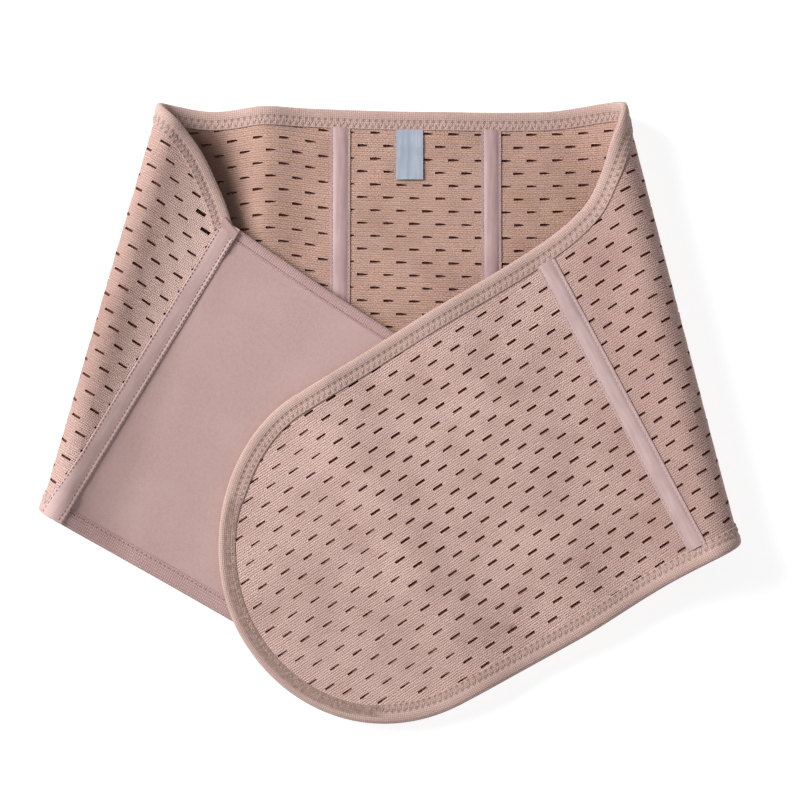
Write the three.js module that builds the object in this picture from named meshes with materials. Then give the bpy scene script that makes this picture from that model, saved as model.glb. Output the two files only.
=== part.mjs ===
import * as THREE from "three";

// An abdominal binder of perforated elastic. It lies on a table with its inner side up, and its
// two ends are folded over each other: first the loop panel, then the round flap.
// Millimetres, +X to the flap's fold, +Y to the binder's top edge, +Z up.
// Every piece is cut flat first: u runs along the belt from the middle of the back, v runs up from
// the bottom edge, w is the height off the sheet's middle on its inner side. fold() then lays it.

// Sizes of the belt, cut flat
const backHeight = 278;
const seamReach = 240;
const tipReach = 520;
const panelLength = 226;
const panelEndRadius = 60;
const roundEndLength = 100;
const roundEndMiddle = 102;
const roundEndTopPower = 1.85;
const roundEndBottomPower = 2.05;

// Cloth and tape thicknesses, and the air that sewn layers keep
const elasticThickness = 1.8;
const panelThickness = 3;
const tapeThickness = 1;
const panelTapeThickness = 0.8;
const layerGap = 0.3;
const casingGap = 0.5;
const seamGap = 1;
const edgeInset = 2.4;

// Tapes, casings, label and hook patch
const bindingWidth = 12.4;
const panelBindingWidth = 9.5;
const casingWidth = 12.5;
const boneRise = 1.2;
const casingEdge = 0.5;
const labelWidth = 17;
const labelLength = 31;
const labelThickness = 0.4;
const tabWidth = 13;
const tabLength = 6.5;
const tabSlope = 0.3;
const hookPatchReach = 104;
const hookPatchThickness = 1.3;
const backCasingSpacing = 95;
const backCasingMiddle = 11;
const flapCasingReach = 247;
const labelReach = 7;

// Slits: one in four of the real ones is cut through
const slitLength = 6.2;
const slitWidth = 1.3;
const slitRowTilt = 5.5;

// How the ends are folded
const leftFoldLean = 15.4;
const rightFoldLean = 13.8;
const leftFoldReach = 232;
const rightFoldReach = 217;
const leftLoopLength = 110;
const rightLoopLength = 140;
const panelHeight = 7.9;
const flapHeight = 13.7;
const panelSettle = 30;
const flapSettle = 60;
const edgeRun = 32;
const overhangDrop = 4.4;
const overhangRun = 100;
const overhangStart = 6;

// The outline: each place is a share of a reach, each height a share of the back's height
const topEdge = [
  { reach: -seamReach, share: 1.0, up: 0.856 },
  { reach: -seamReach, share: 0.946, up: 0.896 },
  { reach: -seamReach, share: 0.819, up: 0.964 },
  { reach: -seamReach, share: 0.66, up: 1.0 },
  { reach: -seamReach, share: 0.49, up: 0.987 },
  { reach: -seamReach, share: 0.35, up: 0.996 },
  { reach: tipReach, share: 0.0, up: 0.988 },
  { reach: tipReach, share: 0.17, up: 0.986 },
  { reach: tipReach, share: 0.285, up: 1.0 },
  { reach: tipReach, share: 0.327, up: 0.952 },
  { reach: tipReach, share: 0.367, up: 0.882 },
  { reach: tipReach, share: 0.403, up: 0.838 },
  { reach: tipReach, share: 0.473, up: 0.812 },
  { reach: tipReach, share: 0.64, up: 0.791 },
  { reach: tipReach, share: 0.75, up: 0.774 },
  { reach: tipReach, share: 0.83, up: 0.763 },
];
const bottomEdge = [
  { reach: -seamReach, share: 1.0, up: 0.09 },
  { reach: -seamReach, share: 0.8, up: 0.08 },
  { reach: -seamReach, share: 0.3, up: 0.015 },
  { reach: tipReach, share: 0.1, up: 0.0 },
  { reach: tipReach, share: 0.5, up: 0.017 },
  { reach: tipReach, share: 0.65, up: -0.001 },
  { reach: tipReach, share: 0.83, up: -0.007 },
];
// The loop panel's edges, as shares of its length from the seam
const panelTop = [
  { share: 0.0, up: 0.856 },
  { share: 0.4, up: 0.838 },
  { share: 1.0, up: 0.826 },
];
const panelBottom = [
  { share: 0.0, up: 0.09 },
  { share: 0.4, up: 0.097 },
  { share: 1.0, up: 0.106 },
];
// A fold's teardrop loop: how far the cloth has turned at each share of the loop's length
const loopTurns = [
  { share: 0.0, turn: 0 },
  { share: 0.25, turn: 25 },
  { share: 0.55, turn: 205 },
  { share: 0.8, turn: 196 },
  { share: 1.0, turn: 184 },
];
// Soft waves across the belt: rise and spread are shares of the back's height, down is what is left
// of the rise at the bottom edge
const waves = [
  { reach: -seamReach, share: 0.345, rise: 0.02, spread: 0.06, down: 0.0 },
  { reach: tipReach, share: 0.06, rise: 0.003, spread: 0.05, down: 0.2 },
  { reach: tipReach, share: 0.62, rise: 0.005, spread: 0.086, down: 1.0 },
  { reach: tipReach, share: 0.78, rise: 0.0043, spread: 0.086, down: 1.0 },
];

// How finely the cloth is divided
const clothRows = 9;
const backColumns = 22;
const flapColumns = 8;
const roundColumns = 9;
const panelColumns = 16;
const panelEndColumns = 6;
const casingStations = 16;
const casingCrowding = 1.6;

const colours = {
  elastic: 0xc9a596,
  binding: 0xc2a79b,
  satin: 0xc6abab,
  velour: 0xc4a6a2,
  label: 0xc8ccd6,
  hook: 0xb7a6a0,
};

const degree = Math.PI / 180;

// A smooth curve through a table's rows, as a function of the first column
function curveThrough(points) {
  const slopes = points.map((p, i) => {
    const before = points[Math.max(i - 1, 0)];
    const after = points[Math.min(i + 1, points.length - 1)];
    return (after[1] - before[1]) / (after[0] - before[0]);
  });
  return (x) => {
    let i = points.length - 2;
    while (i > 0 && x < points[i][0]) i -= 1;
    const step = points[i + 1][0] - points[i][0];
    const t = Math.min(Math.max((x - points[i][0]) / step, 0), 1);
    const rest = 1 - t;
    return (
      points[i][1] * (1 + 2 * t) * rest * rest +
      points[i + 1][1] * (3 - 2 * t) * t * t +
      step * t * rest * (slopes[i] * rest - slopes[i + 1] * t)
    );
  };
}

function smooth(x) {
  const t = Math.min(Math.max(x, 0), 1);
  return t * t * (3 - 2 * t);
}

// The turn at a share of a loop's length
function turnAt(share) {
  const i = Math.max(loopTurns.findIndex((r) => r.share >= share), 1);
  const [from, to] = [loopTurns[i - 1], loopTurns[i]];
  return from.turn + ((to.turn - from.turn) * (share - from.share)) / (to.share - from.share);
}

const edgeCurve = (table) => curveThrough(table.map((r) => [r.reach * r.share, r.up * backHeight]));
const topOf = edgeCurve(topEdge);
const bottomOf = edgeCurve(bottomEdge);
const panelCurve = (table) => {
  const curve = curveThrough(table.map((r) => [r.share * panelLength, r.up * backHeight]));
  return (u) => curve(-u - seamReach);
};
const panelTopOf = panelCurve(panelTop);
const panelBottomOf = panelCurve(panelBottom);

// One fold: where the crease would lie, how it leans, and the loop that the cloth makes there
function makeFold(side, lean, reach, loopLength, restHeight, settleLength) {
  const steps = 240;
  const turns = [0];
  const along = [0];
  const height = [0];
  for (let i = 1; i <= steps; i += 1) {
    const turn = turnAt(i / steps) * degree;
    const middle = (turn + turns[i - 1]) / 2;
    turns.push(turn);
    along.push(along[i - 1] + (Math.cos(middle) * loopLength) / steps);
    height.push(height[i - 1] + (Math.sin(middle) * loopLength) / steps);
  }
  return {
    side,
    lean: lean * degree,
    reach,
    loopLength,
    restHeight,
    settleLength,
    turns,
    along,
    height,
    start: -(loopLength + along[steps]) / 2,
  };
}
const leftFold = makeFold(
  -1,
  leftFoldLean,
  leftFoldReach,
  leftLoopLength,
  panelHeight,
  panelSettle,
);
const rightFold = makeFold(
  1,
  rightFoldLean,
  rightFoldReach,
  rightLoopLength,
  flapHeight,
  flapSettle,
);

// How far a point of the flat cut lies past a fold's crease, and how far up along it
function acrossFold(fold, u, v) {
  const du = fold.side * u - fold.reach;
  const cos = Math.cos(fold.lean);
  const sin = Math.sin(fold.lean);
  return { past: du * cos + v * sin, up: v * cos - du * sin };
}

// The loop's shape at a distance past the crease: place across the fold, height and turn
function loopAt(fold, past) {
  const steps = fold.turns.length - 1;
  const into = past - fold.start;
  if (into <= 0) return { across: past, height: 0, turn: 0 };
  if (into >= fold.loopLength) {
    const beyond = into - fold.loopLength;
    const drop = fold.height[steps] - (fold.restHeight - elasticThickness / 2);
    return {
      across: fold.start + fold.along[steps] - beyond,
      height: fold.height[steps] - drop * (1 - Math.exp(-beyond / fold.settleLength)),
      turn: Math.PI,
    };
  }
  const at = (into / fold.loopLength) * steps;
  const i = Math.min(Math.floor(at), steps - 1);
  const mix = (list) => list[i] + (list[i + 1] - list[i]) * (at - i);
  return { across: fold.start + mix(fold.along), height: mix(fold.height), turn: mix(fold.turns) };
}

// Height that the cloth gains near its bound edge, so that the tape's lower leg lies on the table
function edgeLift(u, v) {
  const lift = layerGap + tapeThickness;
  const reach = bindingWidth + edgeRun;
  let faded = 1;
  for (const side of [leftFold, rightFold]) {
    const into = acrossFold(side, u, v).past - side.start;
    faded *= 1 - smooth(into / side.loopLength);
  }
  return lift * faded * smooth((reach - Math.min(topOf(u) - v, v - bottomOf(u))) / edgeRun);
}

function waveLift(u, v) {
  let lift = 0;
  for (const wave of waves) {
    const off = (u - wave.reach * wave.share) / (wave.spread * backHeight);
    const share = wave.down + (1 - wave.down) * smooth((v / backHeight - 0.25) / 0.7);
    lift += wave.rise * backHeight * share * Math.exp(-off * off);
  }
  return lift;
}

// Lays a point of the flat cut as the binder lies
function fold(u, v, w) {
  const base = elasticThickness / 2 + edgeLift(u, v) + waveLift(u, v);
  for (const side of [leftFold, rightFold]) {
    const { past, up } = acrossFold(side, u, v);
    if (past <= side.start) continue;
    const loop = loopAt(side, past);
    const across = loop.across - w * Math.sin(loop.turn);
    const cos = Math.cos(side.lean);
    const sin = Math.sin(side.lean);
    const y = across * sin + up * cos;
    const sunk = overhangDrop * smooth((-y - overhangStart) / overhangRun) * smooth(loop.turn / Math.PI);
    return new THREE.Vector3(
      side.side * (side.reach + across * cos - up * sin),
      y,
      base + loop.height + w * Math.cos(loop.turn) - sunk,
    );
  }
  return new THREE.Vector3(u, v, base + w);
}

// A closed mesh from points and faces, with its faces turned outwards
function closedGeometry(points, triangles) {
  let volume = 0;
  for (const [a, b, c] of triangles) volume += points[a].dot(points[b].clone().cross(points[c]));
  const index = triangles.flatMap(([a, b, c]) => (volume > 0 ? [a, b, c] : [a, c, b]));
  const geometry = new THREE.BufferGeometry().setFromPoints(points);
  geometry.setIndex(index);
  geometry.computeVertexNormals();
  return geometry;
}

// A sheet between two heights off the middle. lines are rows of [u, v] across the belt, slits says
// which of the grid's cells has one
function sheetGeometry(lines, low, high, slits = () => false) {
  const points = [];
  const triangles = [];
  const rows = lines[0].length;
  const both = (u, v) => points.push(fold(u, v, high), fold(u, v, low)) - 2;
  const node = lines.map((line) => line.map(([u, v]) => both(u, v)));
  const quad = (a, b, c, d) => triangles.push([a, b, c], [a, c, d]);
  const facing = (a, b, c, d) => {
    quad(a, b, c, d);
    quad(d + 1, c + 1, b + 1, a + 1);
  };
  const wall = (a, b) => quad(b, a, a + 1, b + 1);
  for (let i = 0; i + 1 < lines.length; i += 1) {
    for (let j = 0; j + 1 < rows; j += 1) {
      const corner = [node[i][j], node[i + 1][j], node[i + 1][j + 1], node[i][j + 1]];
      if (!slits(i, j)) {
        facing(...corner);
        continue;
      }
      const cell = [lines[i][j], lines[i + 1][j], lines[i + 1][j + 1], lines[i][j + 1]];
      const hole = slitCorners(cell).map(([u, v]) => both(u, v));
      for (let k = 0; k < 4; k += 1) {
        const next = (k + 1) % 4;
        facing(corner[k], corner[next], hole[next], hole[k]);
        wall(hole[next], hole[k]);
      }
    }
  }
  const last = lines.length - 1;
  for (let i = 0; i < last; i += 1) {
    wall(node[i][0], node[i + 1][0]);
    wall(node[i + 1][rows - 1], node[i][rows - 1]);
  }
  for (let j = 0; j + 1 < rows; j += 1) {
    wall(node[last][j], node[last][j + 1]);
    wall(node[0][j + 1], node[0][j]);
  }
  return closedGeometry(points, triangles);
}

// The corners of the slit in the middle of a cell, along the knitted rows there
function slitCorners(cell) {
  const u = (cell[0][0] + cell[1][0] + cell[2][0] + cell[3][0]) / 4;
  const v = (cell[0][1] + cell[1][1] + cell[2][1] + cell[3][1]) / 4;
  const tilt = -slitRowTilt * degree * smooth((u / tipReach - 0.25) / 0.2);
  const corner = (along, up) => [
    u + along * Math.cos(tilt) - up * Math.sin(tilt),
    v + along * Math.sin(tilt) + up * Math.cos(tilt),
  ];
  const [long, wide] = [slitLength / 2, slitWidth / 2];
  return [corner(-long, -wide), corner(long, -wide), corner(long, wide), corner(-long, wide)];
}

// A tape: a closed profile of {out, w} carried along stations of {u, v, outU, outV}
function tapeGeometry(stations, profile) {
  const points = [];
  const triangles = [];
  for (const s of stations)
    for (const p of profile) points.push(fold(s.u + p.out * s.outU, s.v + p.out * s.outV, p.w));
  const sides = profile.length;
  for (let i = 0; i + 1 < stations.length; i += 1) {
    for (let k = 0; k < sides; k += 1) {
      const a = i * sides + k;
      const b = i * sides + ((k + 1) % sides);
      triangles.push([a, b, b + sides], [a, b + sides, a + sides]);
    }
  }
  const outline = profile.map((p) => new THREE.Vector2(p.out, p.w));
  const last = (stations.length - 1) * sides;
  const turned = THREE.ShapeUtils.isClockWise(outline) ? 1 : -1;
  for (const [a, b, c] of THREE.ShapeUtils.triangulateShape(outline, [])) {
    const cap = turned > 0 ? [a, b, c] : [a, c, b];
    triangles.push(cap);
    triangles.push([last + cap[0], last + cap[2], last + cap[1]]);
  }
  return closedGeometry(points, triangles);
}

// A line of a sheet's grid, from near the bottom edge to near the top edge. Its second point and
// its last but one lie where a tape of the given width ends. Rows crowd to the bottom as power grows
function gridLine([bottom, top], tape, inset, power = 1) {
  const run = Math.hypot(top[0] - bottom[0], top[1] - bottom[1]);
  const margin = Math.min(tape, 0.3 * run);
  const rows = clothRows - 2;
  const places = [inset];
  for (let j = 0; j <= rows; j += 1) {
    places.push(margin + (run - 2 * margin) * Math.pow(j / rows, power));
  }
  places.push(run - inset);
  return places.map((place) => [0, 1].map((k) => bottom[k] + ((top[k] - bottom[k]) * place) / run));
}

// Where a line beside a fold's crease meets the belt's bottom and top edges
function creaseLine(fold, past) {
  const meet = (edge, guess) => {
    let v = guess;
    for (let i = 0; i < 12; i += 1) v = edge(uAt(v));
    return [uAt(v), v];
  };
  const uAt = (v) =>
    fold.side * (fold.reach + past / Math.cos(fold.lean) - v * Math.tan(fold.lean));
  return [meet(bottomOf, 0), meet(topOf, backHeight)];
}

function between(first, second, share) {
  const at = (edge, k) => {
    const u = first[k][0] + (second[k][0] - first[k][0]) * share;
    return [u, edge(u)];
  };
  return [at(bottomOf, 0), at(topOf, 1)];
}

// The round end: where an angle from the tip meets each edge, set in by a margin
function roundEndLine(angle, margin = 0) {
  const start = tipReach - roundEndLength;
  const point = (edge, power, inwards) => {
    const across = Math.pow(Math.cos(angle), 2 / power);
    const up = Math.pow(Math.sin(angle), 2 / power);
    return [
      start + (roundEndLength - margin) * across,
      roundEndMiddle + (edge(start) + inwards * margin - roundEndMiddle) * up,
    ];
  };
  return [point(bottomOf, roundEndBottomPower, 1), point(topOf, roundEndTopPower, -1)];
}

// Places in a fold's loop, as distances past its crease, closer together where it turns fast
function loopPlaces(fold) {
  const mostTurn = 19;
  const mostLength = 13;
  const places = [];
  for (let i = 0; i + 1 < loopTurns.length; i += 1) {
    const turn = Math.abs(loopTurns[i + 1].turn - loopTurns[i].turn);
    const share = loopTurns[i + 1].share - loopTurns[i].share;
    const count = Math.ceil(Math.max(turn / mostTurn, (share * fold.loopLength) / mostLength));
    for (let k = 0; k < count; k += 1) {
      places.push(fold.start + (loopTurns[i].share + (share * k) / count) * fold.loopLength);
    }
  }
  return [...places, fold.start + fold.loopLength];
}

// The lines across the belt from the seam to the tip, close together where the cloth bends. The
// round end's are set in by a margin
function beltLines(margin) {
  const seam = [
    [-seamReach, bottomOf(-seamReach)],
    [-seamReach, topOf(-seamReach)],
  ];
  const crease = creaseLine(leftFold, 0);
  const fan = [1, 0.8, 0.62, 0.47, 0.35, 0.27, 0.21, 0.16, 0.12, 0.08, 0.04];
  const lines = fan.map((share) => between(crease, seam, share));
  const leftPlaces = loopPlaces(leftFold).filter((past) => past < 0);
  for (const past of [0, ...leftPlaces.reverse()]) lines.push(creaseLine(leftFold, past));
  const rightPlaces = loopPlaces(rightFold);
  const backFrom = lines[lines.length - 1];
  const backTo = creaseLine(rightFold, rightPlaces[0]);
  for (let i = 1; i < backColumns; i += 1) lines.push(between(backFrom, backTo, i / backColumns));
  for (const past of rightPlaces) lines.push(creaseLine(rightFold, past));
  const flapFrom = lines[lines.length - 1];
  const flapTo = roundEndLine(Math.PI / 2);
  for (let i = 1; i < flapColumns; i += 1) lines.push(between(flapFrom, flapTo, i / flapColumns));
  for (let i = 0; i < roundColumns; i += 1) {
    lines.push(roundEndLine((1 - i / roundColumns) * (Math.PI / 2), margin));
  }
  return lines;
}

const beltGrid = beltLines(0);
const slitCellWidth = 2 * slitLength;
const seamCrowding = 0.4;
const besideCasing = casingWidth / 2 + casingGap;

function elasticBody() {
  const creaseTop = creaseLine(leftFold, 0)[1][0];
  const lines = beltLines(edgeInset).map((line, i) => {
    const toSeam = (line[1][0] - creaseTop) / (-seamReach - creaseTop);
    const inset = i < beltGrid.length - roundColumns ? edgeInset : 0;
    return gridLine(line, bindingWidth, inset, 1 + seamCrowding * smooth(toSeam));
  });
  const cellWidth = (i, j) => lines[i + 1][j][0] - lines[i][j][0];
  const slits = (i, j) =>
    (i + j) % 2 === 0 &&
    j > 0 &&
    j < clothRows - 1 &&
    Math.min(cellWidth(i, j), cellWidth(i, j + 1)) > slitCellWidth;
  return sheetGeometry(lines, -elasticThickness / 2, elasticThickness / 2, slits);
}

// A U of tape folded over a sheet's edge
function foldedTape(width, sheetThickness, thickness) {
  const inner = sheetThickness / 2 + layerGap;
  const outer = inner + thickness;
  const chamfer = 0.6 * thickness;
  return [
    { out: -width, w: -outer },
    { out: -chamfer, w: -outer },
    { out: 0, w: -outer + chamfer },
    { out: 0, w: outer - chamfer },
    { out: -chamfer, w: outer },
    { out: -width, w: outer },
    { out: -width, w: inner },
    { out: -thickness, w: inner },
    { out: -thickness, w: -inner },
    { out: -width, w: -inner },
  ];
}

// Stations along a line of points, with the direction out of the sheet at each
function stationsAlong(points, leftIsOut) {
  return points.map(([u, v], i) => {
    const before = points[Math.max(i - 1, 0)];
    const after = points[Math.min(i + 1, points.length - 1)];
    const run = Math.hypot(after[0] - before[0], after[1] - before[1]);
    const side = leftIsOut ? 1 : -1;
    return {
      u,
      v,
      outU: (-side * (after[1] - before[1])) / run,
      outV: (side * (after[0] - before[0])) / run,
    };
  });
}

// The tape round the belt's outline, from the seam's casing and back to it. Its width follows the
// grid's lines, and the rim's own normal at the tip
function edgeBinding() {
  const start = besideCasing - seamReach;
  const first = [
    [start, bottomOf(start)],
    [start, topOf(start)],
  ];
  const linesTo = (end) => [first, ...beltGrid.filter((line) => line[end][0] > start + 1)];
  const [top, bottom] = [linesTo(1), linesTo(0)];
  const tip = [tipReach, roundEndMiddle];
  const outline = [...top.map((line) => line[1]), tip, ...bottom.map((line) => line[0]).reverse()];
  const stations = stationsAlong(outline, true);
  const straight = (line) => beltGrid.indexOf(line) < beltGrid.length - roundColumns;
  top.filter(straight).forEach(([low, high], i) => {
    leanOut(stations[i], high[0] - low[0], high[1] - low[1]);
  });
  bottom.filter(straight).forEach(([low, high], i) => {
    leanOut(stations[stations.length - 1 - i], low[0] - high[0], low[1] - high[1]);
  });
  return tapeGeometry(stations, foldedTape(bindingWidth, elasticThickness, tapeThickness));
}

// Turns a station's way out to a given direction, and keeps the tape's width across its edge
function leanOut(station, u, v) {
  const across = station.outU * u + station.outV * v;
  station.outU = u / across;
  station.outV = v / across;
}

// The loop panel's lines, from its hidden round end, set in by a margin, to the seam. The last two
// lie under the casing
function panelLines(margin) {
  const lines = [];
  const add = (run, rounded) => {
    const u = -seamReach - run;
    lines.push([
      [u, panelBottomOf(u) + rounded],
      [u, panelTopOf(u) - rounded],
    ]);
  };
  add(seamGap, 0);
  add((seamGap + besideCasing) / 2, 0);
  const straight = panelLength - panelEndRadius;
  for (let i = 0; i <= panelColumns; i += 1) {
    add(besideCasing + (straight - besideCasing) * Math.pow(i / panelColumns, 1.5), 0);
  }
  const radius = panelEndRadius - margin;
  for (let i = 1; i <= panelEndColumns; i += 1) {
    const angle = (i / panelEndColumns) * (Math.PI / 2);
    add(straight + radius * Math.sin(angle), radius * (1 - Math.cos(angle)));
  }
  return lines.reverse();
}

const panelRows = (line, inset) => gridLine(line, panelBindingWidth, inset, 1 + seamCrowding);

function loopPanel() {
  const grid = panelLines(edgeInset).map((line) => panelRows(line, edgeInset));
  return sheetGeometry(grid, -panelThickness / 2, panelThickness / 2);
}

function panelBinding() {
  const lines = panelLines(0).slice(0, -2);
  const end = panelRows(lines[0], 0).slice(1, -1);
  const points = [...lines.map((line) => line[0]).reverse(), ...end, ...lines.map((line) => line[1])];
  const stations = stationsAlong(points, true);
  leanOut(stations[0], 0, -1);
  leanOut(stations[stations.length - 1], 0, 1);
  const profile = foldedTape(panelBindingWidth, panelThickness, panelTapeThickness);
  return tapeGeometry(stations, profile);
}

// The height at u that is a tape's width inside an edge. side is 1 at the bottom edge
function insideEdge(edge, u, width, side) {
  const half = casingWidth / 2;
  const slope = Math.max(Math.abs(edge(u + half) - edge(u)), Math.abs(edge(u) - edge(u - half))) / half;
  const nearest = side * Math.max(side * edge(u - half), side * edge(u + half));
  return nearest + side * width * Math.hypot(1, slope);
}

// A casing of satin tape with a bone in it, across the belt at u, up to a margin from its edges.
// side is 1 on the inner side
function casing(u, clearance, side, margin = bindingWidth + layerGap) {
  const bottom = insideEdge(bottomOf, u, margin, 1);
  const top = insideEdge(topOf, u, margin, -1);
  const points = [];
  for (let i = 0; i <= casingStations; i += 1) {
    const share = Math.pow(i / casingStations, casingCrowding);
    points.push([u, bottom + (top - bottom) * share]);
  }
  const half = casingWidth / 2;
  const steps = [-1, -0.5, 0, 0.5, 1];
  const under = steps.map((step) => ({ out: step * half, w: side * clearance }));
  const over = steps.map((step) => {
    const rise = Math.abs(step) === 1 ? casingEdge : boneRise;
    return { out: -step * half, w: side * (clearance + rise) };
  });
  const profile = [...under, ...over];
  return tapeGeometry(stationsAlong(points, true), profile);
}

const onElastic = elasticThickness / 2 + layerGap;
const seamClearance = panelThickness / 2 + casingGap;

function careLabel() {
  const top = topOf(labelReach) - bindingWidth - layerGap;
  const lines = [-1, -0.33, 0.33, 1].map((share) => {
    const u = labelReach + (share * labelWidth) / 2;
    return [0, 0.25, 0.5, 0.75, 1].map((up) => [u, top - labelLength * (1 - up)]);
  });
  const low = elasticThickness / 2 + casingGap;
  return sheetGeometry(lines, low, low + labelThickness);
}

// The folded end of tape that closes the seam's casing at its top. It leans with the belt's edge
function seamTab() {
  const low = -seamClearance - boneRise - layerGap;
  const lines = [-1, 0, 1].map((share) => {
    const along = (share * tabWidth) / 2;
    const top = topOf(-seamReach) + tabSlope * along;
    return [0, 0.5, 1].map((up) => [along - seamReach, top - tabLength * (1 - up)]);
  });
  return sheetGeometry(lines, low - tapeThickness, low);
}

// The hook fastener on the inner side of the flap's end. Its straight edge crosses the knitted rows
function hookPatch() {
  const margin = bindingWidth + 2 * layerGap;
  const lean = Math.tan(slitRowTilt * degree);
  const edgeAt = tipReach - hookPatchReach;
  const across = (v) => edgeAt + lean * (v - roundEndMiddle);
  const straight = [
    [across(bottomOf(edgeAt) + margin), bottomOf(edgeAt) + margin],
    [across(topOf(edgeAt) - margin), topOf(edgeAt) - margin],
  ];
  const round = roundEndLine(Math.PI / 2, margin);
  const middle = [0, 1].map((k) => [0, 1].map((c) => (straight[k][c] + round[k][c]) / 2));
  const lines = [straight, middle];
  for (let i = 1; i < roundColumns; i += 1) {
    lines.push(roundEndLine((1 - i / roundColumns) * (Math.PI / 2), margin));
  }
  const grid = lines.map((line) => gridLine(line, bindingWidth, 0));
  const low = elasticThickness / 2 + casingGap;
  return sheetGeometry(grid, low, low + hookPatchThickness);
}

function finish(colour, roughness) {
  return new THREE.MeshStandardMaterial({ color: colour, roughness, metalness: 0 });
}

const pieces = [
  ["elastic_body", elasticBody(), finish(colours.elastic, 0.9)],
  ["edge_binding", edgeBinding(), finish(colours.binding, 0.85)],
  ["loop_panel", loopPanel(), finish(colours.velour, 0.95)],
  ["panel_binding", panelBinding(), finish(colours.velour, 0.95)],
];

const satin = finish(colours.satin, 0.6);
const backCasings = { left: -1, right: 1 };
for (const [name, side] of Object.entries(backCasings)) {
  const u = backCasingMiddle + (side * backCasingSpacing) / 2;
  pieces.push([`casing_back_${name}`, casing(u, onElastic, 1), satin]);
}
const flapClearance = elasticThickness / 2 + casingGap;
pieces.push(["casing_flap", casing(flapCasingReach, flapClearance, -1), satin]);
pieces.push(["casing_seam", casing(-seamReach, seamClearance, -1, layerGap), satin]);
pieces.push(["care_label", careLabel(), finish(colours.label, 0.45)]);
pieces.push(["seam_tab", seamTab(), finish(colours.velour, 0.9)]);
pieces.push(["hook_patch", hookPatch(), finish(colours.hook, 0.8)]);

const binder = new THREE.Group();
for (const [name, geometry, material] of pieces) {
  const mesh = new THREE.Mesh(geometry, material);
  mesh.name = name;
  binder.add(mesh);
}

// The origin is the middle of the ground that the binder covers
const box = new THREE.Box3().setFromObject(binder);
binder.position.set(-(box.min.x + box.max.x) / 2, -(box.min.y + box.max.y) / 2, -box.min.z);

export default binder;
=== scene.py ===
import math
import random
import bmesh
import bpy
import numpy as np
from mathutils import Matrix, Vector


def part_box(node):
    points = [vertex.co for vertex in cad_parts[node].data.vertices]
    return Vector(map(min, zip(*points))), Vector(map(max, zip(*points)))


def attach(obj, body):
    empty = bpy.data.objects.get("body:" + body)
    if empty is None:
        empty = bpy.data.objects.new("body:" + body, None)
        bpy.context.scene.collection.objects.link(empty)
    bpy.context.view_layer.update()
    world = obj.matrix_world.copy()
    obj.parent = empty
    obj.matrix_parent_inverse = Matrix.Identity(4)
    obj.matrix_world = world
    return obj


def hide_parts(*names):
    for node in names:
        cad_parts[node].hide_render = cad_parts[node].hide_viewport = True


# An abdominal binder of slit elastic, lying with its two ends folded over each other.
# Every piece is drawn flat first, in millimetres: u along the belt, v up it, w off its inner side,
# and then laid() folds it as the CAD pieces are folded.

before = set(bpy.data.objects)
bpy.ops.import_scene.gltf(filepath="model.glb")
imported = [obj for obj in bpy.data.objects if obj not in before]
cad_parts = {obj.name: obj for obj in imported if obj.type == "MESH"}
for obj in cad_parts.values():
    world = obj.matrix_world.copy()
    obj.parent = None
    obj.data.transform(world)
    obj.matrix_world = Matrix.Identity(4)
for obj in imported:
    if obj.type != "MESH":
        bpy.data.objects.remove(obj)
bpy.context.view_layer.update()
random.seed(7)
degree = math.pi / 180


# Numbers shared by all the pieces, the same as in the CAD
belt = {
    "height": 278, "seamReach": 240, "tipReach": 520, "panelLength": 226, "panelEndRadius": 60,
    "roundLength": 100, "roundMiddle": 102, "roundTopPower": 1.85, "roundBottomPower": 2.05,
    "cloth": 1.8, "panelCloth": 3.0, "bindingWidth": 12.4,
    "casingWidth": 12.5, "labelReach": 7, "layerGap": 0.3, "tape": 1.0,
}
leftFoldShape = {"side": -1, "lean": 15.4, "reach": 232, "loop": 110, "rest": 7.9, "settle": 30}
rightFoldShape = {"side": 1, "lean": 13.8, "reach": 217, "loop": 140, "rest": 13.7, "settle": 60}
overhang = {"drop": 4.4, "run": 100, "start": 6}
edgeRun = 32
loopTurns = [(0, 0), (0.25, 25), (0.55, 205), (0.8, 196), (1, 184)]  # share of the loop, turn
topEdge = [  # reach, share of it, share of the height
    ("seamReach", 1.0, 0.856), ("seamReach", 0.946, 0.896), ("seamReach", 0.819, 0.964),
    ("seamReach", 0.66, 1.0), ("seamReach", 0.49, 0.987), ("seamReach", 0.35, 0.996),
    ("tipReach", 0.0, 0.988), ("tipReach", 0.17, 0.986), ("tipReach", 0.285, 1.0),
    ("tipReach", 0.327, 0.952), ("tipReach", 0.367, 0.882), ("tipReach", 0.403, 0.838),
    ("tipReach", 0.473, 0.812), ("tipReach", 0.64, 0.791), ("tipReach", 0.75, 0.774),
    ("tipReach", 0.83, 0.763),
]
bottomEdge = [
    ("seamReach", 1.0, 0.09), ("seamReach", 0.8, 0.08), ("seamReach", 0.3, 0.015),
    ("tipReach", 0.1, 0.0), ("tipReach", 0.5, 0.017), ("tipReach", 0.65, -0.001),
    ("tipReach", 0.83, -0.007),
]
panelTopEdge = [(0, 0.856), (0.4, 0.838), (1, 0.826)]
panelBottomEdge = [(0, 0.09), (0.4, 0.097), (1, 0.106)]
waves = [  # reach, share of it, then rise and spread as shares of the height, what is left below
    ("seamReach", 0.345, 0.02, 0.06, 0.0), ("tipReach", 0.06, 0.003, 0.05, 0.2),
    ("tipReach", 0.62, 0.009, 0.086, 1.0), ("tipReach", 0.78, 0.013, 0.08, 1.0),
]


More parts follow.
